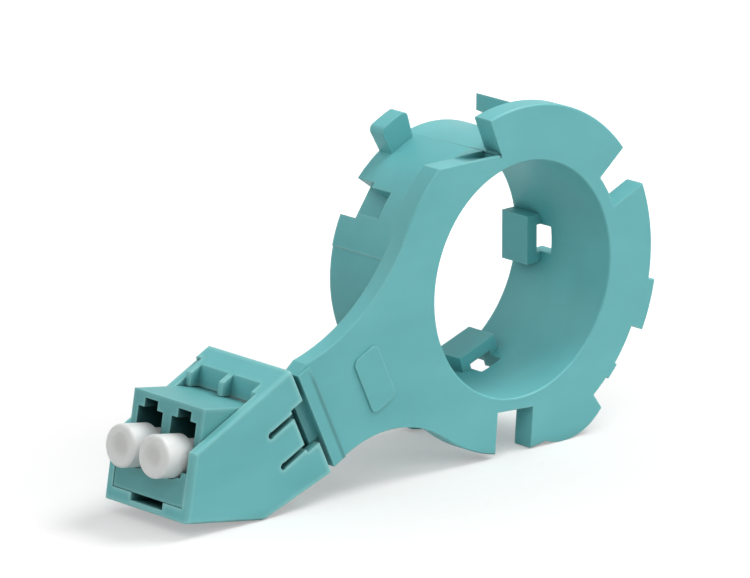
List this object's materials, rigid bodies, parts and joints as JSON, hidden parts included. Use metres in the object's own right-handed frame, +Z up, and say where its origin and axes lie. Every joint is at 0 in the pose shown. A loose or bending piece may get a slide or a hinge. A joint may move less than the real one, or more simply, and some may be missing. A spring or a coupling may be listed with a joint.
{
  "type": "fibre optic adapter",
  "caption": "Aqua fibre-optic adapter in a sloped housing with dust plugs, joined by a bent arm to an open slack-storage ring with a broken flange and clip hooks.",
  "frame": {"origin": "middle of the part's bounding box in X and Y, on the surface it stands on", "axes": "+X from the ports towards the ring, +Y from the ring's front face to its back, +Z up"},
  "size_m": [0.0846, 0.0178, 0.0463],
  "materials": {
    "aqua_plastic": "satin moulded",
    "plug_plastic": "soft translucent",
    "zirconia": "ground"
  },
  "bodies": {
    "adapter": {"storage_ring": "aqua_plastic", "adapter_shell": "aqua_plastic", "port_front_body": "aqua_plastic", "port_rear_body": "aqua_plastic", "sleeve_left": "zirconia", "sleeve_right": "zirconia"},
    "plug_left": {"plug_left": "plug_plastic"},
    "plug_right": {"plug_right": "plug_plastic"}
  },
  "joints": [
    {"name": "plug_left_pull", "type": "slide", "parent": "adapter", "child": "plug_left", "axis": [-0.9874, 0, 0.1582], "range_m": [0, 0.012]},
    {"name": "plug_right_pull", "type": "slide", "parent": "adapter", "child": "plug_right", "axis": [-0.9874, 0, 0.1582], "range_m": [0, 0.012]}
  ]
}
